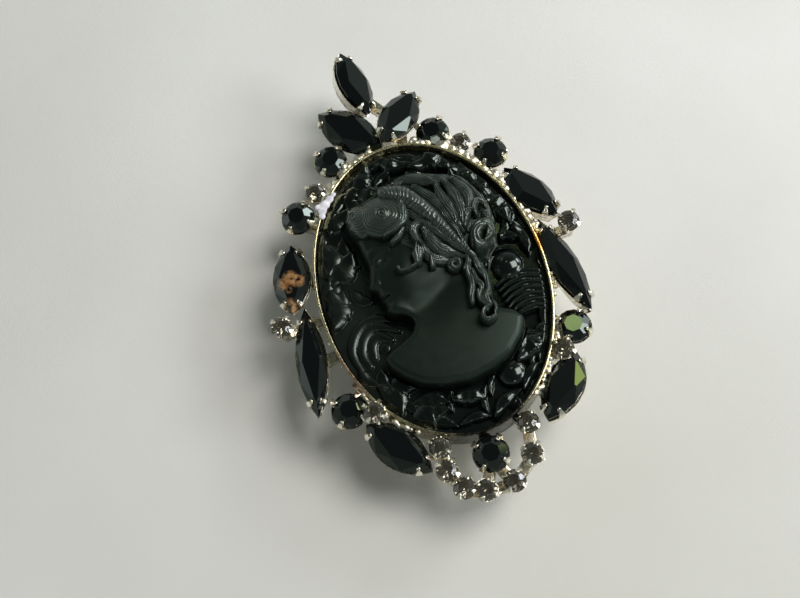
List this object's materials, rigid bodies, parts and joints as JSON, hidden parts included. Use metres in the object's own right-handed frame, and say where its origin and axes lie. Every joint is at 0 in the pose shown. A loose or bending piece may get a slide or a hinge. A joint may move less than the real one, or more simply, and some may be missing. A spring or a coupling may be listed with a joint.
{
  "type": "cameo brooch pendant",
  "caption": "Oval cameo brooch pendant: raised bust on an ornamented ground in a bezel, claw-set stones round it, pin fitting and bail tube on the back.",
  "frame": {"origin": "middle of the underside of the whole object's box, on the surface that it rests on", "axes": "+Z out of the cameo's face, +Y towards the pointed top of the border, +X to the right as the face is seen"},
  "size_m": [0.0428, 0.0662, 0.0127],
  "materials": {
    "setting_metal": "bright white-metal plating with a pale gold tint on the bezel rim, a little worn",
    "pin_metal": "bright white-metal plating",
    "ground_glass": "opaque gloss black moulded glass",
    "bust_matte": "matte black, frosted moulded glass",
    "black_stone": "opaque black cut glass, polished facets",
    "smoky_stone": "foiled smoky clear cut glass"
  },
  "bodies": {
    "root": {"setting_frame": "setting_metal", "brooch_pin": "pin_metal", "cameo_ground": "ground_glass", "cameo_bust": "bust_matte", "navette_top": "black_stone", "navette_crown_left": "black_stone", "navette_crown_right": "black_stone", "navette_side_left": "black_stone", "navette_side_right": "black_stone", "navette_long_left": "black_stone", "navette_long_right": "black_stone", "navette_foot_left": "black_stone", "navette_foot_right": "black_stone", "round_top_left": "black_stone", "round_top_right": "black_stone", "round_upper_left": "black_stone", "round_upper_right": "black_stone", "round_low_left": "black_stone", "round_low_right": "black_stone", "round_foot": "black_stone", "chaton_upper_left": "smoky_stone", "chaton_upper_right": "smoky_stone", "chaton_side_left": "smoky_stone", "chaton_side_right": "smoky_stone", "chaton_low_left": "smoky_stone", "chaton_low_right": "smoky_stone", "foot_chaton_1": "smoky_stone", "foot_chaton_2": "smoky_stone", "foot_chaton_3": "smoky_stone", "foot_chaton_4": "smoky_stone", "foot_chaton_5": "smoky_stone", "foot_chaton_6": "smoky_stone", "foot_chaton_7": "smoky_stone"}
  },
  "joints": []
}
